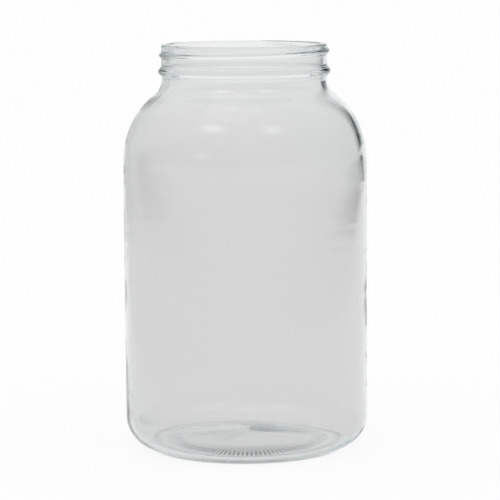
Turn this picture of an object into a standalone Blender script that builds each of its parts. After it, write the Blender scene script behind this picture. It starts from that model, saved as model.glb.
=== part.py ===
"""Wide mouth glass jug of one US gallon, pressed and blown in one piece.

The jug is one wall of glass turned about +Z. Seen from the axis outwards it has a floor that
is pushed up in the middle, a flat bearing ring that it stands on, a full heel, a straight body,
a long shoulder, a waisted neck with a round bead, and a neck wall with one turn of thread.
The thread takes a lid of the 110 mm continuous thread kind. The jug stands on z = 0 with the
middle of its base at the origin. The front of the jug faces -Y.
"""
from math import acos, cos, degrees, hypot, pi, radians, sin, tau

import bmesh
import bpy

# Overall sizes, in metres
HEIGHT = 0.259
BODY_RADIUS = 0.078

# Base: the push-up under the floor, the bearing ring round it and the heel
PUSH_UP_DEPTH = 0.005
BEARING_RING_WIDTH = 0.004
HEEL_REACH = 0.021
HEEL_HEIGHT = 0.020
HEEL_FULLNESS = 2.13

# Shoulder, from the top of the straight body to the narrowest place of the neck
SHOULDER_HEIGHT = 0.0542
SHOULDER_SWEEP = radians(53.8)
NECK_ROOT_HEIGHT = 0.0119
NECK_ROOT_STEP_SHARE = 0.228
NECK_ROOT_LOWER_PULL_SHARE = 0.38
NECK_ROOT_UPPER_PULL_SHARE = 0.50

# Neck: a waist under the bead, and the wall that carries the thread above it
WAIST_RADIUS = 0.0526
WAIST_DROP = 0.0206
NECK_RADIUS = 0.0530
BEAD_DROP = 0.0174
BEAD_WIDTH = 0.0054
BEAD_PROUD = 0.0024
LIP_OUTER_ROUND = 0.0015
LIP_INNER_ROUND = 0.0012

# Thread: one rib of a right-hand helix, with its two ends at the back
THREAD_PITCH = 0.00508
THREAD_TURNS = 0.95
THREAD_DROP = 0.0055
THREAD_WIDTH = 0.0036
THREAD_PROUD = 0.0016
THREAD_ROOT_DEPTH = 0.0009
THREAD_RUN_OUT_ANGLE = radians(14.0)
THREAD_FRONT_ANGLE = radians(270.0)

# Glass thickness
BODY_WALL = 0.0026
NECK_WALL = 0.0043
FLOOR_GLASS = 0.0055
BEARING_GLASS = 0.0065
INNER_HEEL_REACH = 0.020
INNER_HEEL_HEIGHT = 0.018

# Facets
SEGMENTS = 64
HEEL_STEPS = 7
FLOOR_STEPS = 3
SHOULDER_STEPS = 7
NECK_ROOT_STEPS = 4
BEAD_STEPS = 6
LIP_STEPS = 3
THREAD_STEPS = 60
THREAD_END_SHARE = 0.25
THREAD_CROWN_SHARES = (-0.8, -0.4, 0.0, 0.4, 0.8)
THREAD_FOOT_SHARE = 1.15
MERGE_DISTANCE = 0.00001

LITRES_PER_CUBIC_METRE = 1000
MILLIMETRES_PER_METRE = 1000


def shares(steps):
    """Even shares from 0 to 1, both ends included."""
    return [step / steps for step in range(steps + 1)]


def smooth(share):
    """Ease from 0 to 1 with level ends."""
    return share * share * (3 - 2 * share)


def full_corner(share, fullness):
    """A point of a unit corner between (1, 0) and (0, 1), fuller than an ellipse above 2."""
    angle = share * pi / 2
    return cos(angle) ** (2 / fullness), sin(angle) ** (2 / fullness)


def outer_heel():
    """From the top of the heel down to the outer edge of the bearing ring."""
    bearing_radius = BODY_RADIUS - HEEL_REACH
    points = []
    for share in shares(HEEL_STEPS):
        across, down = full_corner(share, HEEL_FULLNESS)
        points.append((bearing_radius + HEEL_REACH * across, HEEL_HEIGHT * (1 - down)))
    return points


def underside():
    """From the inner edge of the bearing ring up under the floor to the axis."""
    edge = BODY_RADIUS - HEEL_REACH - BEARING_RING_WIDTH
    return [(edge * (1 - share), PUSH_UP_DEPTH * (1 - (1 - share) ** 2))
            for share in shares(FLOOR_STEPS)]


def shoulder():
    """From the top of the straight body up to the neck root: part of an ellipse.

    Returns the points, each with its outward normal.
    """
    step = BODY_RADIUS - WAIST_RADIUS
    reach = step * (1 - NECK_ROOT_STEP_SHARE) / (1 - cos(SHOULDER_SWEEP))
    rise = (SHOULDER_HEIGHT - NECK_ROOT_HEIGHT) / sin(SHOULDER_SWEEP)
    foot = HEIGHT - WAIST_DROP - SHOULDER_HEIGHT
    points = []
    for share in shares(SHOULDER_STEPS):
        angle = share * SHOULDER_SWEEP
        place = (BODY_RADIUS - reach * (1 - cos(angle)), foot + rise * sin(angle))
        points.append((place, unit(rise * cos(angle), reach * sin(angle))))
    return points


def neck_root():
    """The hollow curve between shoulder and waist, after the last shoulder point.

    It is a cubic curve that leaves along the shoulder and ends upright at the waist.
    Returns the points, each with its outward normal.
    """
    (start_radius, start_height), normal = shoulder()[-1]
    lower_pull = NECK_ROOT_LOWER_PULL_SHARE * NECK_ROOT_HEIGHT
    upper_pull = NECK_ROOT_UPPER_PULL_SHARE * NECK_ROOT_HEIGHT
    waist_height = HEIGHT - WAIST_DROP
    handles = ((start_radius, start_height),
               (start_radius - lower_pull * normal[1], start_height + lower_pull * normal[0]),
               (WAIST_RADIUS, waist_height - upper_pull),
               (WAIST_RADIUS, waist_height))
    points = []
    for share in shares(NECK_ROOT_STEPS)[1:]:
        rest = 1 - share
        weights = (rest ** 3, 3 * rest ** 2 * share, 3 * rest * share ** 2, share ** 3)
        slopes = (-rest ** 2, rest ** 2 - 2 * rest * share,
                  2 * rest * share - share ** 2, share ** 2)
        place = [sum(w * handle[k] for w, handle in zip(weights, handles)) for k in (0, 1)]
        along = [sum(w * handle[k] for w, handle in zip(slopes, handles)) for k in (0, 1)]
        points.append((tuple(place), unit(along[1], -along[0])))
    return points


def unit(across, up):
    """The direction (across, up) at length 1."""
    length = hypot(across, up)
    return across / length, up / length


def bead():
    """The round bead, from its lower foot at the waist to its upper foot on the neck wall."""
    lower = HEIGHT - BEAD_DROP - BEAD_WIDTH / 2
    points = []
    for share in shares(BEAD_STEPS):
        wall = WAIST_RADIUS + (NECK_RADIUS - WAIST_RADIUS) * smooth(share)
        points.append((wall + BEAD_PROUD * sin(share * pi), lower + BEAD_WIDTH * share))
    return points


def lip():
    """Over the lip, from the bore to the neck wall, with a flat sealing land on top."""
    bore = WAIST_RADIUS - NECK_WALL
    inner = [(bore + LIP_INNER_ROUND * (1 - cos(share * pi / 2)),
              HEIGHT - LIP_INNER_ROUND * (1 - sin(share * pi / 2)))
             for share in shares(LIP_STEPS)]
    outer = [(NECK_RADIUS - LIP_OUTER_ROUND * (1 - sin(share * pi / 2)),
              HEIGHT - LIP_OUTER_ROUND * (1 - cos(share * pi / 2)))
             for share in shares(LIP_STEPS)]
    return inner + outer


def inner_floor_and_heel():
    """From the middle of the floor out and up to the top of the inner heel."""
    edge = BODY_RADIUS - BODY_WALL - INNER_HEEL_REACH
    middle = PUSH_UP_DEPTH + FLOOR_GLASS
    points = [(edge * share, middle + (BEARING_GLASS - middle) * share ** 2)
              for share in shares(FLOOR_STEPS)[:-1]]
    for share in reversed(shares(HEEL_STEPS)):
        across, down = full_corner(share, HEEL_FULLNESS)
        points.append((edge + INNER_HEEL_REACH * across,
                       BEARING_GLASS + INNER_HEEL_HEIGHT * (1 - down)))
    return points


def inner_shoulder():
    """The inner face of shoulder and neck root: the outer one set in by the glass there."""
    outer = shoulder() + neck_root()
    foot = outer[0][0][1]
    points = []
    for (radius, height), (across, up) in outer:
        thickness = BODY_WALL + (NECK_WALL - BODY_WALL) * smooth((height - foot) / SHOULDER_HEIGHT)
        points.append((radius - thickness * across, height - thickness * up))
    return points


def inside():
    """The inner face, from the middle of the floor to the top of the neck root."""
    return inner_floor_and_heel() + inner_shoulder()


def outside():
    """The outer face, from the lower foot of the bead down to the middle of the underside."""
    upper = [place for place, _ in shoulder() + neck_root()]
    return list(reversed(upper)) + outer_heel() + underside()


def turned_wall(name, outline):
    """One closed body: the outline turned once about +Z, its ends on the axis."""
    model = bmesh.new()
    points = [model.verts.new((radius, 0, height)) for radius, height in outline]
    edges = [model.edges.new(pair) for pair in zip(points, points[1:])]
    bmesh.ops.spin(model, geom=points + edges, cent=(0, 0, 0), axis=(0, 0, 1),
                   angle=tau, steps=SEGMENTS)
    bmesh.ops.remove_doubles(model, verts=model.verts, dist=MERGE_DISTANCE)
    bmesh.ops.recalc_face_normals(model, faces=model.faces)
    return linked_object(name, model)


def thread_section(fade):
    """The rib's cross section as (out from the neck wall, up), sunk into the wall as it fades."""
    half = THREAD_WIDTH / 2
    crown = [(THREAD_PROUD * cos(share * pi / 2), half * share) for share in THREAD_CROWN_SHARES]
    foot = [(-THREAD_ROOT_DEPTH, half * THREAD_FOOT_SHARE),
            (-THREAD_ROOT_DEPTH, -half * THREAD_FOOT_SHARE)]
    return [(fade * (out + THREAD_ROOT_DEPTH) - THREAD_ROOT_DEPTH * (2 - fade), up)
            for out, up in crown + foot]


def thread_fade(angle_from_end):
    """How much of the rib stands at this angle from its nearer end."""
    share = min(1, angle_from_end / THREAD_RUN_OUT_ANGLE)
    return THREAD_END_SHARE + (1 - THREAD_END_SHARE) * smooth(share)


def thread_rib(name):
    """The thread as one closed sweep along its helix, rising to the right at the front."""
    model = bmesh.new()
    length = THREAD_TURNS * tau
    rings = []
    for share in shares(THREAD_STEPS):
        turn = (share - 0.5) * length
        fade = thread_fade(min(share, 1 - share) * length)
        angle = THREAD_FRONT_ANGLE + turn
        height = HEIGHT - THREAD_DROP + THREAD_PITCH * turn / tau
        rings.append([model.verts.new(((NECK_RADIUS + out) * cos(angle),
                                       (NECK_RADIUS + out) * sin(angle), height + up))
                      for out, up in thread_section(fade)])
    for ring, following in zip(rings, rings[1:]):
        for index, point in enumerate(ring):
            after = (index + 1) % len(ring)
            model.faces.new((point, ring[after], following[after], following[index]))
    model.faces.new(rings[0])
    model.faces.new(rings[-1])
    bmesh.ops.recalc_face_normals(model, faces=model.faces)
    return linked_object(name, model)


def linked_object(name, model):
    """Store a bmesh as a smooth-shaded object of the scene."""
    mesh = bpy.data.meshes.new(name)
    model.to_mesh(mesh)
    model.free()
    mesh.shade_smooth()
    mesh.set_sharp_from_angle(angle=radians(40))
    item = bpy.data.objects.new(name, mesh)
    bpy.context.scene.collection.objects.link(item)
    return item


def join_rib(wall, rib):
    """Make the rib part of the wall, and keep it as a hidden tool."""
    union = wall.modifiers.new("Thread", 'BOOLEAN')
    union.operation = 'UNION'
    union.solver = 'EXACT'
    union.object = rib
    rib.hide_render = True
    rib.display_type = 'WIRE'


def clear_glass():
    """Clear soda-lime glass with the faintest green."""
    material = bpy.data.materials.new("clear_glass")
    material.use_nodes = True
    shader = material.node_tree.nodes["Principled BSDF"]
    shader.inputs["Base Color"].default_value = (0.96, 0.985, 0.975, 1)
    shader.inputs["Roughness"].default_value = 0.02
    shader.inputs["Metallic"].default_value = 0
    shader.inputs["IOR"].default_value = 1.52
    shader.inputs["Transmission Weight"].default_value = 1
    return material


def brimful_capacity():
    """Volume inside up to the sealing land, in cubic metres, from cones between the points."""
    outline = inside() + [(WAIST_RADIUS - NECK_WALL, HEIGHT)]
    return sum(pi / 3 * (upper[1] - lower[1])
               * (lower[0] ** 2 + lower[0] * upper[0] + upper[0] ** 2)
               for lower, upper in zip(outline, outline[1:]))


def build():
    """Clear the scene and model the jug."""
    for item in list(bpy.data.objects):
        bpy.data.objects.remove(item, do_unlink=True)
    outline = inside() + lip() + list(reversed(bead())) + outside()
    jug = turned_wall("glass_jug", outline)
    join_rib(jug, thread_rib("thread_rib_tool"))
    jug.data.materials.append(clear_glass())
    litres = brimful_capacity() * LITRES_PER_CUBIC_METRE
    lean = degrees(acos(shoulder()[-1][1][1]))
    print(f"Holds {litres:.2f} litres to the brim.")
    print(f"The shoulder ends {lean:.0f} degrees from level.")
    print(f"Thread diameter {2 * (NECK_RADIUS + THREAD_PROUD) * MILLIMETRES_PER_METRE:.1f} mm.")


build()
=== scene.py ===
# %% [markdown]
# # A wide mouth glass jug
#
# The jug holds a US gallon. It is one piece of clear glass, pressed and then blown in a mould,
# so this lesson makes one mesh: a wall of glass with an outer and an inner face, a thread, a
# bead, a lip, and a knurled ring under the base. Glass has no colour of its own to paint. What
# the eye reads as a glass jug is the shape of both faces bending a bright backdrop, so most of
# the work goes into those two faces and into the room around them.
#
# The frame comes first. It is the jug's construction model, fixed in place, and the fine
# mesh is made to its size.

# %% Load the frame
from math import cos, hypot, pi, radians, sin, tau

import bpy
from mathutils import Matrix, Vector


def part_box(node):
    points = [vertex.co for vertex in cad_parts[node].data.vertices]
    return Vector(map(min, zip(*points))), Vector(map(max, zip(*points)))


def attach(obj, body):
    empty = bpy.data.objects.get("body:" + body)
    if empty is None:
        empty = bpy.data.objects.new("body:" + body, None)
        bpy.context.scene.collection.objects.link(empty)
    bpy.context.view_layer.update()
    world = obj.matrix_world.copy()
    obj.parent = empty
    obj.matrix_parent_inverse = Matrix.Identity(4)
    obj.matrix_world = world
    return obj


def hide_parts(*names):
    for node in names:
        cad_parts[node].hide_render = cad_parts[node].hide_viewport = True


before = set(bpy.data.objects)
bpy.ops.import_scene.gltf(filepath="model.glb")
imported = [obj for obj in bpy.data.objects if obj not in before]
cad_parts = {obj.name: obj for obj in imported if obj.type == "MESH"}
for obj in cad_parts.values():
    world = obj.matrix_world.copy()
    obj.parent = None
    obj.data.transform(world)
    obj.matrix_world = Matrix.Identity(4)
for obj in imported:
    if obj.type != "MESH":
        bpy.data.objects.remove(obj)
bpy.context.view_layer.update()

MM = 0.001
low_corner, high_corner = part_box("glass_jug")
BODY_RADIUS = (high_corner[0] - low_corner[0]) / 2
HEIGHT = high_corner[2]
print(f"Frame: {BODY_RADIUS / MM:.1f} mm radius, {HEIGHT / MM:.1f} mm high")

# %% [markdown]
# ## Writing nodes as arithmetic
#
# Geometry Nodes and shader nodes both use the same Math node. Adding those by hand makes long
# scripts, so a socket is wrapped in a small class that knows plus, minus, times and divide.
# An expression such as `1 - mask * 0.5` then adds its own Math nodes. Everything else goes
# through one method, which takes a node's type, its settings, and what its sockets get.


# %% A socket that does arithmetic
def operator(operation, swapped=False):
    """A method that adds one Math node, with its two values swapped for 1 - wire."""
    def method(self, other):
        pair = (other, self) if swapped else (self, other)
        return self.graph.math(operation, *pair)
    return method


class Wire:
    """One output socket of a node, for use in a Python expression."""

    def __init__(self, graph, socket):
        self.graph = graph
        self.socket = socket

    __add__ = operator("ADD")
    __radd__ = operator("ADD", swapped=True)
    __sub__ = operator("SUBTRACT")
    __rsub__ = operator("SUBTRACT", swapped=True)
    __mul__ = operator("MULTIPLY")
    __rmul__ = operator("MULTIPLY", swapped=True)
    __truediv__ = operator("DIVIDE")
    __rtruediv__ = operator("DIVIDE", swapped=True)
    __pow__ = operator("POWER")
    __mod__ = operator("FLOORED_MODULO")

    def other(self, name):
        """Another output of the same node."""
        return Wire(self.graph, self.socket.node.outputs[name])

    def clamped(self):
        """The value held between 0 and 1."""
        return self.graph.math("MINIMUM", self.graph.math("MAXIMUM", self, 0), 1)

    def eased(self):
        """The value held between 0 and 1, with level ends."""
        share = self.clamped()
        return share * share * (3 - 2 * share)


class Graph:
    """Adds nodes to one tree and wires them."""

    def __init__(self, tree):
        self.tree = tree

    def add(self, kind, settings=None, values=None, out=0):
        """Add a node, set its settings, then fill or link its sockets."""
        node = self.tree.nodes.new(kind)
        for name, setting in (settings or {}).items():
            setattr(node, name, setting)
        for key, value in (values or {}).items():
            if isinstance(value, Wire):
                self.tree.links.new(value.socket, node.inputs[key])
            else:
                node.inputs[key].default_value = value
        return Wire(self, node.outputs[out] if node.outputs else None)

    def math(self, operation, *values):
        """Add one Math node."""
        return self.add("ShaderNodeMath", {"operation": operation}, dict(enumerate(values)))

    def vector(self, x, y, z):
        """Join three values into a vector."""
        return self.add("ShaderNodeCombineXYZ", values={"X": x, "Y": y, "Z": z})


# %% [markdown]
# ## The camera
#
# The camera stands a metre and a half in front of the jug, a little above its rim, and looks
# down by seven degrees. It uses a long lens, as product pictures do, so the body's sides stay
# almost parallel. The jug leans by less than half a degree in the picture, so the camera
# is rolled by as much. Its numbers were found by laying the turned outline over the
# picture's silhouette until both edges agreed.

# %% Place the camera
FRAME_PIXELS = 500
SENSOR_WIDTH = 36
FOCAL_PIXELS = 2351.7
LOOK_CENTRE_PIXELS = (245.5, 230.0)
CAMERA_PLACE = (0, -1501.6 * MM, 321.0 * MM)
CAMERA_DOWN = radians(6.9)
CAMERA_ROLL = radians(-0.42)

lens = bpy.data.cameras.new("product_camera")
lens.sensor_width = SENSOR_WIDTH
lens.lens = FOCAL_PIXELS / FRAME_PIXELS * SENSOR_WIDTH
lens.shift_x = (FRAME_PIXELS / 2 - LOOK_CENTRE_PIXELS[0]) / FRAME_PIXELS
lens.shift_y = (LOOK_CENTRE_PIXELS[1] - FRAME_PIXELS / 2) / FRAME_PIXELS
camera = bpy.data.objects.new("product_camera", lens)
camera.matrix_world = (Matrix.Translation(CAMERA_PLACE)
                       @ Matrix.Rotation(pi / 2 - CAMERA_DOWN, 4, 'X')
                       @ Matrix.Rotation(CAMERA_ROLL, 4, 'Z'))
bpy.context.scene.collection.objects.link(camera)
bpy.context.scene.camera = camera
print(f"Lens {lens.lens:.0f} mm, shift {lens.shift_x:.3f} and {lens.shift_y:.3f}")

# %% [markdown]
# ## The outline
#
# A turned piece is drawn once, as the line that a knife would leave in a cut jug. The line
# starts in the middle of the floor, runs out and up the inner face, over the lip, down the
# outer face, and under the base back to the axis. Round stretches come from formulas: a full
# corner for the heel, a piece of an ellipse for the shoulder, and a cubic curve for the
# hollow of the neck root. Each point of the line becomes one row of the mesh, so
# stretches that carry fine detail get more points.

# %% Sizes of the base and the heel
PUSH_UP_DEPTH = 5.0 * MM
BEARING_RING_WIDTH = 4.0 * MM
HEEL_REACH = 21.0 * MM
HEEL_HEIGHT = 20.0 * MM
HEEL_FULLNESS = 2.13
BODY_WALL = 2.1 * MM
FLOOR_GLASS = 3.2 * MM
BEARING_GLASS = 2.7 * MM
INNER_HEEL_REACH = 18.9 * MM
INNER_HEEL_HEIGHT = 17.3 * MM

# %% Sizes of the shoulder and the neck
SHOULDER_HEIGHT = 54.2 * MM
SHOULDER_SWEEP = radians(53.8)
NECK_ROOT_HEIGHT = 11.9 * MM
NECK_ROOT_STEP_SHARE = 0.228
NECK_ROOT_PULL_SHARES = (0.38, 0.50)
WAIST_RADIUS = 52.6 * MM
WAIST_HEIGHT = HEIGHT - 20.6 * MM
NECK_RADIUS = 53.0 * MM
NECK_WALL = 3.4 * MM
NECK_SWELL_HEIGHT = 24 * MM
BEAD_HEIGHT = HEIGHT - 17.4 * MM
BEAD_WIDTH = 8.4 * MM
BEAD_PROUD = 2.35 * MM
BORE_SWELL = 1.2 * MM
LIP_OUTER_ROUND = 1.5 * MM
LIP_INNER_ROUND = 1.2 * MM


# %% Small helpers for curves
def shares(steps):
    """Even shares from 0 to 1, both ends included."""
    return [step / steps for step in range(steps + 1)]


def eased(share):
    """Ease from 0 to 1 with level ends."""
    share = min(1, max(0, share))
    return share * share * (3 - 2 * share)


def full_corner(share):
    """A point of a unit corner from (1, 0) to (0, 1), a little fuller than a circle."""
    angle = share * pi / 2
    return cos(angle) ** (2 / HEEL_FULLNESS), sin(angle) ** (2 / HEEL_FULLNESS)


def unit(across, up):
    """The direction (across, up) at length 1."""
    length = hypot(across, up)
    return across / length, up / length


# %% [markdown]
# The outer face of the shoulder is an ellipse that starts upright at the top of the body. It
# stops before it gets level, where the hollow neck root takes over, and both share one slope
# there. The inner face is the outer one set in by the glass, which thickens from the
# body to the neck, because the neck is pressed and the body is blown out thin.


# %% Shoulder and neck root
def shoulder(steps):
    """Points of the outer shoulder from bottom to top, each with its outward direction."""
    reach = ((BODY_RADIUS - WAIST_RADIUS) * (1 - NECK_ROOT_STEP_SHARE)
             / (1 - cos(SHOULDER_SWEEP)))
    rise = (SHOULDER_HEIGHT - NECK_ROOT_HEIGHT) / sin(SHOULDER_SWEEP)
    foot = WAIST_HEIGHT - SHOULDER_HEIGHT
    points = []
    for share in shares(steps):
        angle = share * SHOULDER_SWEEP
        place = (BODY_RADIUS - reach * (1 - cos(angle)), foot + rise * sin(angle))
        points.append((place, unit(rise * cos(angle), reach * sin(angle))))
    return points


def neck_root(steps):
    """Points of the hollow curve from the shoulder's top to the waist under the bead."""
    (start_radius, start_height), (across, up) = shoulder(1)[-1]
    lower, upper = (share * NECK_ROOT_HEIGHT for share in NECK_ROOT_PULL_SHARES)
    handles = ((start_radius, start_height),
               (start_radius - lower * up, start_height + lower * across),
               (WAIST_RADIUS, WAIST_HEIGHT - upper), (WAIST_RADIUS, WAIST_HEIGHT))
    points = []
    for share in shares(steps)[1:]:
        rest = 1 - share
        weights = (rest ** 3, 3 * rest ** 2 * share, 3 * rest * share ** 2, share ** 3)
        slopes = (-rest ** 2, rest ** 2 - 2 * rest * share,
                  2 * rest * share - share ** 2, share ** 2)
        place = [sum(w * h[k] for w, h in zip(weights, handles)) for k in (0, 1)]
        along = [sum(w * h[k] for w, h in zip(slopes, handles)) for k in (0, 1)]
        points.append((tuple(place), unit(along[1], -along[0])))
    return points


def set_in(points):
    """The inner face behind these outer points."""
    inner = []
    for (radius, height), (across, up) in points:
        thickening = eased((height - WAIST_HEIGHT) / NECK_SWELL_HEIGHT + 1)
        glass = BODY_WALL + (NECK_WALL - BODY_WALL) * thickening
        inner.append((radius - glass * across, height - glass * up))
    return inner


# %% Floor, heel, underside and lip
def inner_floor(steps):
    """From the middle of the floor to the foot of the inner heel."""
    edge = BODY_RADIUS - BODY_WALL - INNER_HEEL_REACH
    middle = PUSH_UP_DEPTH + FLOOR_GLASS
    return [(edge * share, middle + (BEARING_GLASS - middle) * share ** 2)
            for share in shares(steps)[:-1]]


def inner_heel(steps):
    """From the floor up to the straight inner wall."""
    edge = BODY_RADIUS - BODY_WALL - INNER_HEEL_REACH
    return [(edge + INNER_HEEL_REACH * across, BEARING_GLASS + INNER_HEEL_HEIGHT * (1 - down))
            for across, down in map(full_corner, reversed(shares(steps)))]


def outer_heel(steps):
    """From the straight outer wall down to the bearing ring."""
    edge = BODY_RADIUS - HEEL_REACH
    return [(edge + HEEL_REACH * across, HEEL_HEIGHT * (1 - down))
            for across, down in map(full_corner, shares(steps))]


def underside(steps):
    """From the bearing ring up under the pushed-up floor to the axis."""
    edge = BODY_RADIUS - HEEL_REACH - BEARING_RING_WIDTH
    return [(edge * (1 - share), PUSH_UP_DEPTH * (1 - (1 - share) ** 2))
            for share in shares(steps)]


def lip(steps):
    """Over the lip from the bore to the neck wall, with a flat land on top."""
    bore = WAIST_RADIUS - NECK_WALL
    inner = [(bore + LIP_INNER_ROUND * (1 - cos(share * pi / 2)),
              HEIGHT - LIP_INNER_ROUND * (1 - sin(share * pi / 2))) for share in shares(steps)]
    outer = [(NECK_RADIUS - LIP_OUTER_ROUND * (1 - sin(share * pi / 2)),
              HEIGHT - LIP_OUTER_ROUND * (1 - cos(share * pi / 2))) for share in shares(steps)]
    return inner + outer


def inner_neck(steps):
    """Up the bore, which swells a little behind the bead, to the lip."""
    bore = WAIST_RADIUS - NECK_WALL
    points = []
    for share in shares(steps)[1:-1]:
        height = WAIST_HEIGHT + (HEIGHT - LIP_INNER_ROUND - WAIST_HEIGHT) * share
        across_bead = min(1, abs(height - BEAD_HEIGHT) / (BEAD_HEIGHT - WAIST_HEIGHT))
        points.append((bore + BORE_SWELL * cos(across_bead * pi / 2) ** 2, height))
    return points


def bead(steps):
    """The round bead with soft feet, from the neck wall down to the waist."""
    points = []
    for share in shares(steps):
        wall = NECK_RADIUS + (WAIST_RADIUS - NECK_RADIUS) * eased(share)
        points.append((wall + BEAD_PROUD * sin(share * pi) ** 2,
                       BEAD_HEIGHT + BEAD_WIDTH * (0.5 - share)))
    return points


def straight(start, end, steps):
    """Points between two corners, without the corners."""
    return [tuple(a + (b - a) * share for a, b in zip(start, end))
            for share in shares(steps)[1:-1]]


# %% [markdown]
# Each row also carries what the node tree needs to know about it: which way is out of the
# glass, and how much it belongs to the inner face, the thread or the knurled ring. Those are
# stored as attributes on the points of the outline, the way a lathe hand would pencil notes
# beside a drawing. The inside of the neck follows the thread at half its depth, because
# glass that is pressed thin keeps an even wall. The foot of the bead takes the place of the
# shoulder's topmost point.

# %% Draw the outline and its notes
rows = []


def draw(points, **notes):
    """Add points to the outline with their notes."""
    rows.extend((point, notes) for point in points)


inner_shoulder = set_in(shoulder(14) + neck_root(6))
outer_shoulder = [place for place, _ in reversed(shoulder(16) + neck_root(8))]
inner_face = inner_floor(6) + inner_heel(14)
outer_lip = lip(4)
outer_bead = bead(14)
heel_face = outer_heel(16)

draw(inner_face, inside=1)
draw(straight(inner_face[-1], inner_shoulder[0], 24), inside=1)
draw(inner_shoulder, inside=1)
draw(inner_neck(32), inside=0.4, threaded=-0.5)
draw(outer_lip)
draw(straight(outer_lip[-1], outer_bead[0], 24), threaded=1)
draw(outer_bead)
draw(outer_shoulder[1:])
draw(straight(outer_shoulder[-1], heel_face[0], 8))
draw(heel_face[:-2])
draw(heel_face[-2:], knurled=1)
draw(straight(heel_face[-1], underside(1)[0], 4), knurled=1)
draw(underside(14)[:1], knurled=1)
draw(underside(14)[1:2], knurled=0.5)
draw(underside(14)[2:])
print(f"The outline has {len(rows)} points")

# %% Store the outline as a mesh of one line
NOTES = ("inside", "threaded", "knurled")
outline_mesh = bpy.data.meshes.new("jug_outline")
outline_mesh.from_pydata([(radius, 0, height) for (radius, height), _ in rows],
                         [(index, index + 1) for index in range(len(rows) - 1)], [])
for note in NOTES:
    layer = outline_mesh.attributes.new(note, 'FLOAT', 'POINT')
    layer.data.foreach_set("value", [float(notes.get(note, 0)) for _, notes in rows])
out_layer = outline_mesh.attributes.new("out", 'FLOAT_VECTOR', 'POINT')
for index, item in enumerate(out_layer.data):
    before = rows[max(index - 1, 0)][0]
    after = rows[min(index + 1, len(rows) - 1)][0]
    across, up = unit(before[1] - after[1], after[0] - before[0])
    item.vector = (across, 0, up)
outline = bpy.data.objects.new("jug_outline", outline_mesh)
bpy.context.scene.collection.objects.link(outline)

# %% [markdown]
# ## The lathe
#
# Geometry Nodes turn the outline. A flat grid gets one row for each point of the outline and
# one column for each step round the axis. The tree looks up the row's point, moves it out or in
# by the thread, the knurls or the uneven wall, and swings it round to the column's angle. Only
# the knurled ring needs the full number of columns. On all other rows, two columns out of three
# step back onto their neighbour, and Merge by Distance welds them.
#
# The thread is a rule, not a drawing: a rib round a helix that climbs one pitch for each turn,
# and fades into the wall at both ends.

# %% Start the tree and its inputs
FRONT_ANGLE = radians(270)
lathe = bpy.data.node_groups.new("glass_lathe", 'GeometryNodeTree')
lathe.interface.new_socket("Geometry", in_out='OUTPUT', socket_type='NodeSocketGeometry')
lathe.interface.new_socket("Geometry", in_out='INPUT', socket_type='NodeSocketGeometry')
LATHE_INPUTS = {
    "Columns": 960,
    "Coarse Step": 3,
    "Thread Pitch": 5.08 * MM,
    "Thread Turns": 0.95,
    "Thread Height": HEIGHT - 5.8 * MM,
    "Thread Width": 4.4 * MM,
    "Thread Proud": 1.6 * MM,
    "Thread Peak": 1.6,
    "Thread Run Out": radians(14),
    "Knurls": 120,
    "Knurl Depth": 0.7 * MM,
    "Unevenness": 0.14 * MM,
    "Skin": 0.03 * MM,
    "Seed": 4.0,
}
for name, value in LATHE_INPUTS.items():
    kind = 'NodeSocketInt' if isinstance(value, int) else 'NodeSocketFloat'
    lathe.interface.new_socket(name, in_out='INPUT', socket_type=kind)
nodes = Graph(lathe)
group_input = nodes.add("NodeGroupInput")
drawn_line = group_input.other("Geometry")
columns = group_input.other("Columns")

# %% A grid with a row for each point of the outline
row_count = nodes.add("GeometryNodeAttributeDomainSize", {"component": 'MESH'},
                      {"Geometry": drawn_line}, "Point Count")
grid = nodes.add("GeometryNodeMeshGrid",
                 values={"Size X": 1, "Size Y": 1, "Vertices X": columns + 1,
                         "Vertices Y": row_count}, out="Mesh")
grid_place = nodes.add("ShaderNodeSeparateXYZ", values={0: nodes.add("GeometryNodeInputPosition")})
row = nodes.math("ROUND", (grid_place.other("Y") + 0.5) * (row_count - 1))
column = nodes.math("ROUND", (grid_place.other("X") + 0.5) * columns)


def looked_up(kind, value):
    """The outline's own value at this vertex's row."""
    return nodes.add("GeometryNodeSampleIndex", {"data_type": kind, "domain": 'POINT'},
                     {"Geometry": drawn_line, "Value": value, "Index": row})


def note(name):
    """One of the notes that the outline carries."""
    return looked_up('FLOAT', nodes.add("GeometryNodeInputNamedAttribute",
                                        {"data_type": 'FLOAT'}, {"Name": name}))


# %% Where each vertex is on the plain turned wall
place = nodes.add("ShaderNodeSeparateXYZ", values={
    0: looked_up('FLOAT_VECTOR', nodes.add("GeometryNodeInputPosition"))})
out = nodes.add("ShaderNodeSeparateXYZ", values={
    0: looked_up('FLOAT_VECTOR', nodes.add("GeometryNodeInputNamedAttribute",
                                           {"data_type": 'FLOAT_VECTOR'}, {"Name": "out"}))})
radius, height = place.other("X"), place.other("Z")
plain_row = nodes.math("LESS_THAN", note("knurled"), 0.01)
angle = (column - (column % group_input.other("Coarse Step")) * plain_row) / columns * tau
round_x, round_y = nodes.math("COSINE", angle), nodes.math("SINE", angle)

# %% The thread
turn = (angle - FRONT_ANGLE + pi) % tau - pi
helix_height = group_input.other("Thread Height") + group_input.other("Thread Pitch") * turn / tau
from_helix = nodes.math("ABSOLUTE", height - helix_height) / group_input.other("Thread Width") * 2
crown = nodes.math("COSINE", nodes.math("MINIMUM", from_helix, 1) * (pi / 2))
to_end = group_input.other("Thread Turns") * pi - nodes.math("ABSOLUTE", turn)
stands = (to_end / group_input.other("Thread Run Out")).eased()
thread = (crown ** group_input.other("Thread Peak") * stands * note("threaded")
          * group_input.other("Thread Proud"))

# %% The knurls under the bearing ring
groove = nodes.math("MAXIMUM", nodes.math("COSINE", angle * group_input.other("Knurls")), 0)
knurl = 0 - groove * note("knurled") * group_input.other("Knurl Depth")

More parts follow.
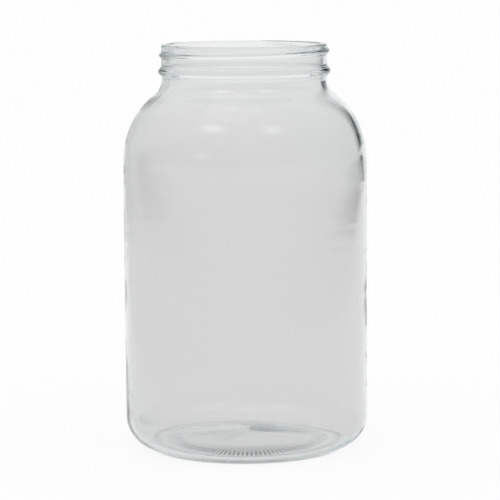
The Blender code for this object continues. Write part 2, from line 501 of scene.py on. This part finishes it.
# %% [markdown]
# ## An uneven wall
#
# The mould gives the outer face its shape, but nothing shapes the inner face: the glass
# flows there as it is blown. So the wall is thicker in some places than in others, and the
# jug in the picture shows it, with a heavy wandering edge down the right of its shoulder.
# Each such swell is a place, a spread and an amount. Broad swells are best, because a steep
# one bends the light like a prism and blurs that edge. A soft noise adds the rest.

# %% Swells of the inner face
FLOW_ROUND, FLOW_HEIGHT = 1.3, 50 * MM
RIPPLE_ROUND, RIPPLE_HEIGHT = 5, 22 * MM
SWELLS = (
    # degrees round, height, spread round, spread up, extra glass
    (0, 200 * MM, 1.20, 24 * MM, 1.3 * MM),
    (0, 184 * MM, 0.80, 9 * MM, 0.3 * MM),
    (180, 16 * MM, 0.90, 14 * MM, 0.8 * MM),
    (0, 14 * MM, 0.90, 16 * MM, -0.4 * MM),
)
swelling = 0
for degrees_round, swell_height, spread_round, spread_up, amount in SWELLS:
    nearness = nodes.math("COSINE", angle - radians(degrees_round)) - 1
    above = (height - swell_height) / spread_up
    swelling = nodes.math("EXPONENT", nearness / spread_round ** 2 - above * above) * amount + swelling
flow = nodes.add("ShaderNodeTexNoise", {"noise_dimensions": '4D'}, {
    "Vector": nodes.vector(round_x * FLOW_ROUND, round_y * FLOW_ROUND, height / FLOW_HEIGHT),
    "W": group_input.other("Seed"), "Scale": 1.0, "Detail": 2.0, "Roughness": 0.45})
uneven = swelling + (flow - 0.5) * 2 * group_input.other("Unevenness")
ripple = nodes.add("ShaderNodeTexNoise", {"noise_dimensions": '4D'}, {
    "Vector": nodes.vector(round_x * RIPPLE_ROUND, round_y * RIPPLE_ROUND, height / RIPPLE_HEIGHT),
    "W": group_input.other("Seed") + 7, "Scale": 1.0, "Detail": 1.0})
skin = (ripple - 0.5) * 2 * group_input.other("Skin")

# %% Place the vertices, weld them and finish the tree
AXIS_RADIUS = 0.01 * MM
WELD_DISTANCE = 0.005 * MM
shift = thread + knurl + skin * note("inside") + uneven * note("inside")
on_axis = nodes.math("LESS_THAN", radius, AXIS_RADIUS)
turned_radius = (radius + out.other("X") * shift) * (1 - on_axis)
turned_height = height + out.other("Z") * shift * (1 - on_axis)
moved = nodes.add("GeometryNodeSetPosition", values={
    "Geometry": grid,
    "Position": nodes.vector(turned_radius * round_x, turned_radius * round_y, turned_height)})
welded = nodes.add("GeometryNodeMergeByDistance", values={"Geometry": moved,
                                                          "Distance": WELD_DISTANCE})
smoothed = nodes.add("GeometryNodeSetShadeSmooth", values={"Geometry": welded})
clear_glass = bpy.data.materials.new("clear_glass")
realized = nodes.add("GeometryNodeRealizeInstances", values={"Geometry": smoothed})
dressed = nodes.add("GeometryNodeSetMaterial", values={"Geometry": realized,
                                                       "Material": clear_glass})
nodes.add("NodeGroupOutput", values={"Geometry": dressed})
print(f"The lathe has {len(lathe.nodes)} nodes")

# %% [markdown]
# The tree is a modifier on the outline. Its result is copied out as a plain mesh, and the
# modifier and the outline are then removed, so that what is left is only glass. A closed mesh
# has a volume, and its sign tells which way the faces point.


# %% Turn the outline and keep the plain mesh
def glass_volume(mesh):
    """The volume inside a closed mesh, negative if its faces point inwards."""
    mesh.calc_loop_triangles()
    total = 0.0
    for triangle in mesh.loop_triangles:
        a, b, c = (mesh.vertices[index].co for index in triangle.vertices)
        total += a.dot(b.cross(c)) / 6
    return total


turning = outline.modifiers.new("Lathe", 'NODES')
turning.node_group = lathe
for item in lathe.interface.items_tree:
    if item.in_out == 'INPUT' and item.name in LATHE_INPUTS:
        turning[item.identifier] = LATHE_INPUTS[item.name]
evaluated = outline.evaluated_get(bpy.context.evaluated_depsgraph_get())
jug_mesh = bpy.data.meshes.new_from_object(evaluated)
jug_mesh.name = "moulded_glass"
if glass_volume(jug_mesh) < 0:
    jug_mesh.flip_normals()
outline.modifiers.remove(turning)
bpy.data.objects.remove(outline)
jug = bpy.data.objects.new("moulded_glass", jug_mesh)
bpy.context.scene.collection.objects.link(jug)
MILLILITRE = 1e-6
print(f"Glass: {glass_volume(jug_mesh) / MILLILITRE:.0f} ml, {len(jug_mesh.loop_triangles)} triangles")

# %% Let the glass stand for the frame's jug
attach(jug, "root")
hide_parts("glass_jug")

# %% [markdown]
# ## Clear glass
#
# Real glass is a closed wall with a Principled shader at full transmission. Rays bend at each
# face by the index of refraction, so the two faces of the mesh do the work. The volume makes it
# soda-lime glass and not a crystal: it gives a green in the thick places by soaking up red over
# distance. The Base Color adds a grey in each pass through a wall, deeper in the body than in the
# neck. That grey is painted shade, which dims the white room seen through the glass, and its
# lighter neck is a painted lighter tone where the neck shows more light. A weak bump with long
# level waves stands for the skin of cooled glass.
#
# Lamps can't shine through bent glass without much noise, so shadow rays go straight
# through, by the usual Light Path trick.

# %% The glass material
WAVES_PER_METRE = (18, 18, 60)
SEED_SHARE = 0.05
# Painted shade: these greys dim the room seen through each wall, less in the neck than in the body.
NECK_SHADE_GREY = (0.930, 0.918, 0.919, 1)
BODY_SHADE_GREY = (0.864, 0.852, 0.854, 1)
NECK_SHADE_GREY_FROM = 219 * MM
NECK_SHADE_GREY_RISE = 20 * MM
clear_glass.use_nodes = True
clear_glass.node_tree.nodes.clear()
look = Graph(clear_glass.node_tree)
where = look.add("ShaderNodeTexCoord", out="Object")
seeds = look.add("ShaderNodeTexNoise", values={"Vector": where, "Scale": 60.0, "Detail": 3.0})
stretched = look.add("ShaderNodeVectorMath", {"operation": 'MULTIPLY'},
                     {0: where, 1: WAVES_PER_METRE})
waves = look.add("ShaderNodeTexNoise", values={"Vector": stretched, "Scale": 1.0, "Detail": 2.0})
surface_relief = seeds * SEED_SHARE + waves
relief = look.add("ShaderNodeBump", values={"Height": surface_relief, "Strength": 0.12,
                                            "Distance": 1.5 * MM})
height_up = look.add("ShaderNodeSeparateXYZ", values={0: where}).other("Z")
in_neck = ((height_up - NECK_SHADE_GREY_FROM) / NECK_SHADE_GREY_RISE).eased()
# The painted shade grey, lighter from the neck up.
painted_shade_grey = look.add("ShaderNodeMix", {"data_type": 'RGBA'}, {
    "Factor": in_neck, "A": BODY_SHADE_GREY, "B": NECK_SHADE_GREY}, "Result")
glass = look.add("ShaderNodeBsdfPrincipled", values={
    "Base Color": painted_shade_grey, "Roughness": 0.0, "IOR": 1.52, "Transmission Weight": 1.0,
    "Normal": relief})
# Shadow rays pass straight through with the neck's painted shade grey.
straight_through = look.add("ShaderNodeBsdfTransparent", values={"Color": NECK_SHADE_GREY})
shadow_ray = look.add("ShaderNodeLightPath", out="Is Shadow Ray")
surface = look.add("ShaderNodeMixShader", values={0: shadow_ray, 1: glass, 2: straight_through})
depth_tint = look.add("ShaderNodeVolumeAbsorption", values={
    "Color": (0.64, 0.765, 0.77, 1), "Density": 40.0})
look.add("ShaderNodeOutputMaterial", values={"Surface": surface, "Volume": depth_tint})
print(f"The glass has {len(clear_glass.node_tree.nodes)} nodes")

# %% [markdown]
# ## A room to bend
#
# Clear glass shows its room. This room is a pale grey studio, brighter overhead, where the
# ceiling bounces the light. The jug stands on white paper, which lies round it as a
# sheet and widens behind it until it fills the picture. Rays that pass through the middle of
# the jug hit white paper. Rays that bend near its edges land beside the paper, and draw the
# edges in grey. Right of the paper there is a dark gap before the wall begins. Only the
# thick glass at the right of the shoulder bends light that far, so the gap gives that edge its
# dark line. Product photographers hang a black card there for the same reason.
#
# Soft glows behind the camera stand for covered lamps, which the shoulder mirrors. The
# camera itself sees plain white all round, by Light Path's Is Camera Ray.

# %% How white the room is in a level direction
LEFT_LEVEL = 0.72
RIGHT_LEVEL = 0.80
LEFT_PAPER = (0.19, 0.07)
RIGHT_PAPER = (0.33, 0.22)
GAP_LEVEL = 0.06
GAP_END = (0.68, 0.40)
TURN_FROM = -0.5


def off_paper(graph, across, ahead):
    """0 on the white paper behind the jug, 1 beside it."""
    aside = across / graph.math("MAXIMUM", ahead, 0.001)
    past_left = ((0 - aside - LEFT_PAPER[0]) / LEFT_PAPER[1]).eased()
    past_right = ((aside - RIGHT_PAPER[0]) / RIGHT_PAPER[1]).eased()
    return past_left + past_right


def in_gap(graph, across, ahead):
    """1 in the dark gap right of the paper, 0 further round."""
    aside = across / graph.math("MAXIMUM", ahead, 0.001)
    return (graph.math("GREATER_THAN", across, 0)
            * (1 - ((aside - GAP_END[0]) / GAP_END[1]).eased()))


def wall_level(across):
    """How light the room is beside the paper, from its left wall to its right wall."""
    return LEFT_LEVEL + (across - TURN_FROM).eased() * (RIGHT_LEVEL - LEFT_LEVEL)


# %% The world
CEILING_LEVEL = 1.25
CEILING_FROM = 0.15
PAPER_TOP = 0.55
PAPER_TOP_EDGE = 0.25
GLOWS = (
    # degrees right of the camera, degrees up, half width, half height, extra light
    (-41, 47, 18, 9, 1.5),
    (36, 46, 13, 9, 1.2),
    (-41, 14, 14, 6, 0.7),
)
world = bpy.data.worlds.new("studio")
bpy.context.scene.world = world
world.use_nodes = True
world.node_tree.nodes.clear()
sky = Graph(world.node_tree)
gaze_line = sky.add("ShaderNodeTexCoord", out="Generated")
gaze = sky.add("ShaderNodeSeparateXYZ", values={0: gaze_line})
upward = ((gaze.other("Z") - CEILING_FROM) / (1 - CEILING_FROM)).eased()
gap = in_gap(sky, gaze.other("X"), gaze.other("Y"))
walls = wall_level(gaze.other("X"))
walls = walls + (GAP_LEVEL - walls) * gap
bare_level = walls + upward * (CEILING_LEVEL - walls)
over_paper = ((gaze.other("Z") - PAPER_TOP) / PAPER_TOP_EDGE).eased()
on_paper = (1 - off_paper(sky, gaze.other("X"), gaze.other("Y"))) * (1 - over_paper)
room_level = bare_level + (1 - bare_level) * on_paper
for glow_round, glow_up, half_width, half_height, glow_level in GLOWS:
    swing = Matrix.Rotation(radians(glow_round), 3, 'Z') @ Matrix.Rotation(-radians(glow_up), 3, 'X')
    reach = [sky.add("ShaderNodeVectorMath", {"operation": 'DOT_PRODUCT'},
                     {0: gaze_line, 1: swing @ Vector(axis)}, "Value")
             for axis in ((1, 0, 0), (0, -1, 0), (0, 0, 1))]
    aside, over = (sky.math("ABSOLUTE", reach[0]), sky.math("ABSOLUTE", reach[2]))
    shape = ((1 - aside / radians(half_width)).eased() * (1 - over / radians(half_height)).eased()
             * sky.math("GREATER_THAN", reach[1], 0))
    room_level = room_level + shape * glow_level
straight_look = sky.add("ShaderNodeLightPath", out="Is Camera Ray")
room_level = room_level + (1 - room_level) * straight_look
room_light = sky.add("ShaderNodeBackground", values={
    "Color": sky.vector(room_level, room_level, room_level), "Strength": 1.0})
sky.add("ShaderNodeOutputWorld", values={"Surface": room_light})
print(f"The room has {len(world.node_tree.nodes)} nodes")

# %% [markdown]
# ## The floor
#
# The paper is plain white to the camera, and to what the glass bends or mirrors, with a small
# share of a lit white surface that takes the jug's shadow. Past its edge the floor is as
# grey as the walls, to all but the camera. Under the front of the base, where the light
# hardly reaches, that lit share is larger, and so it is in a thin ring where the heel almost
# touches the paper. The darkness there is the lit surface's own shade, but masks put it only
# in those two places and set how strong it is, so it is partly painted shade.

# %% Levels of the floor
FLOOR_RADIUS = 60.0
SHEET_RADIUS = 1.05
SHEET_LEVEL = 0.86
SHEET_EDGE = 0.35
NEAR_LEVEL = 0.95
NEAR_RADIUS = 1.4
NEAR_EDGE = 2.0
FAR_LEVEL = 0.66
FAR_RADIUS = 3.0

# %% The floor and its white sheet
floor_mesh = bpy.data.meshes.new("floor")
corner = FLOOR_RADIUS
floor_mesh.from_pydata([(-corner, -corner, 0), (corner, -corner, 0), (corner, corner, 0),
                        (-corner, corner, 0)], [], [(0, 1, 2, 3)])
floor = bpy.data.objects.new("floor", floor_mesh)
bpy.context.scene.collection.objects.link(floor)
white_sheet = bpy.data.materials.new("white_sheet")
white_sheet.use_nodes = True
white_sheet.node_tree.nodes.clear()
sheet = Graph(white_sheet.node_tree)
spot = sheet.add("ShaderNodeNewGeometry", out="Position")
spot_parts = sheet.add("ShaderNodeSeparateXYZ", values={0: spot})
distance = sheet.add("ShaderNodeVectorMath", {"operation": 'LENGTH'}, {0: spot}, "Value")
far_off = ((distance - SHEET_RADIUS) / SHEET_EDGE).eased()
beside = off_paper(sheet, spot_parts.other("X"), spot_parts.other("Y") - CAMERA_PLACE[1])
beside = beside * (1 - spot_parts.other("Y") / CAMERA_PLACE[1]).eased()
rays = sheet.add("ShaderNodeLightPath", out="Is Camera Ray")
near = 1 - ((distance - NEAR_RADIUS) / NEAR_EDGE).eased()
on_sheet = 1 - near * (1 - NEAR_LEVEL) * (1 - rays)
gap = in_gap(sheet, spot_parts.other("X"), spot_parts.other("Y") - CAMERA_PLACE[1])
walls = wall_level(spot_parts.other("X"))
walls = walls + (GAP_LEVEL - walls) * gap
walls = walls + (FAR_LEVEL - walls) * ((distance - FAR_RADIUS) / FAR_RADIUS).eased()
level = on_sheet - beside * ((1 - SHEET_LEVEL) + (SHEET_LEVEL - walls) * far_off) * (1 - rays)

# %% The partly painted shade under the base, and the floor's finish
PLAIN_SHARE = 0.9
UNDER_SHARE = 0.36
UNDER_RADII = (22 * MM, 49 * MM)
UNDER_EDGE = 8 * MM
CONTACT_RADIUS = 61 * MM
CONTACT_SPREAD = 4 * MM
UNDER_FRONT = -14 * MM
UNDER_FRONT_EDGE = 28 * MM
CONTACT_ALL_ROUND = 0.1
CONTACT_IN_FRONT = 0.7
# Partly painted shade: the darkness is the lit floor's own shade, but these masks put it only under
# the front of the base and in a ring at the heel.
shaded = (((distance - UNDER_RADII[0]) / UNDER_EDGE).eased()
          * (1 - ((distance - UNDER_RADII[1]) / UNDER_EDGE).eased()))
in_front = ((UNDER_FRONT - spot_parts.other("Y")) / UNDER_FRONT_EDGE).eased()
contact = 1 - (sheet.math("ABSOLUTE", distance - CONTACT_RADIUS) / CONTACT_SPREAD).eased()
plain_share = PLAIN_SHARE - shaded * in_front * (PLAIN_SHARE - UNDER_SHARE)
plain_share = plain_share * (1 - contact * (CONTACT_ALL_ROUND + in_front * CONTACT_IN_FRONT))
seen = (rays + rays.other("Is Glossy Ray") + rays.other("Is Transmission Ray")).clamped()
lit = sheet.add("ShaderNodeBsdfDiffuse", values={"Color": (0.8, 0.8, 0.8, 1)})
plain = sheet.add("ShaderNodeEmission", values={"Color": sheet.vector(level, level, level),
                                                "Strength": 1.0})
sheet.add("ShaderNodeOutputMaterial", values={"Surface": sheet.add("ShaderNodeMixShader", values={
    0: seen * plain_share, 1: lit, 2: plain})})
floor_mesh.materials.append(white_sheet)
print(f"The floor's finish has {len(white_sheet.node_tree.nodes)} nodes")

# %% [markdown]
# ## The lamp
#
# One large covered lamp hangs overhead. It only draws the soft shadow round the base, so it is
# weak. The even light comes from the room.


# %% The overhead lamp
def softbox(name, place, target, size, radiance):
    """A rectangular area lamp aimed at a point, as bright as this radiance."""
    lamp = bpy.data.lights.new(name, 'AREA')
    lamp.shape = 'RECTANGLE'
    lamp.size, lamp.size_y = size
    lamp.energy = radiance * pi * size[0] * size[1]
    holder = bpy.data.objects.new(name, lamp)
    aim = Vector(target) - Vector(place)
    holder.matrix_world = Matrix.Translation(place) @ aim.to_track_quat('-Z', 'Y').to_matrix().to_4x4()
    bpy.context.scene.collection.objects.link(holder)
    return holder


softbox("overhead", place=(-0.3, -0.4, 2.2), target=(0, 0, 0.1), size=(1.4, 1.4), radiance=0.3)

# %% [markdown]
# Light that enters a thick corner of glass can bounce inside it a dozen times before it
# finds a way out. Cycles gives up sooner than that and paints such places black, so it is
# told to follow the light for longer.

bounces = bpy.context.scene.cycles
bounces.max_bounces, bounces.glossy_bounces, bounces.transmission_bounces = 40, 24, 32
bpy.context.scene.view_settings.view_transform = 'Standard'
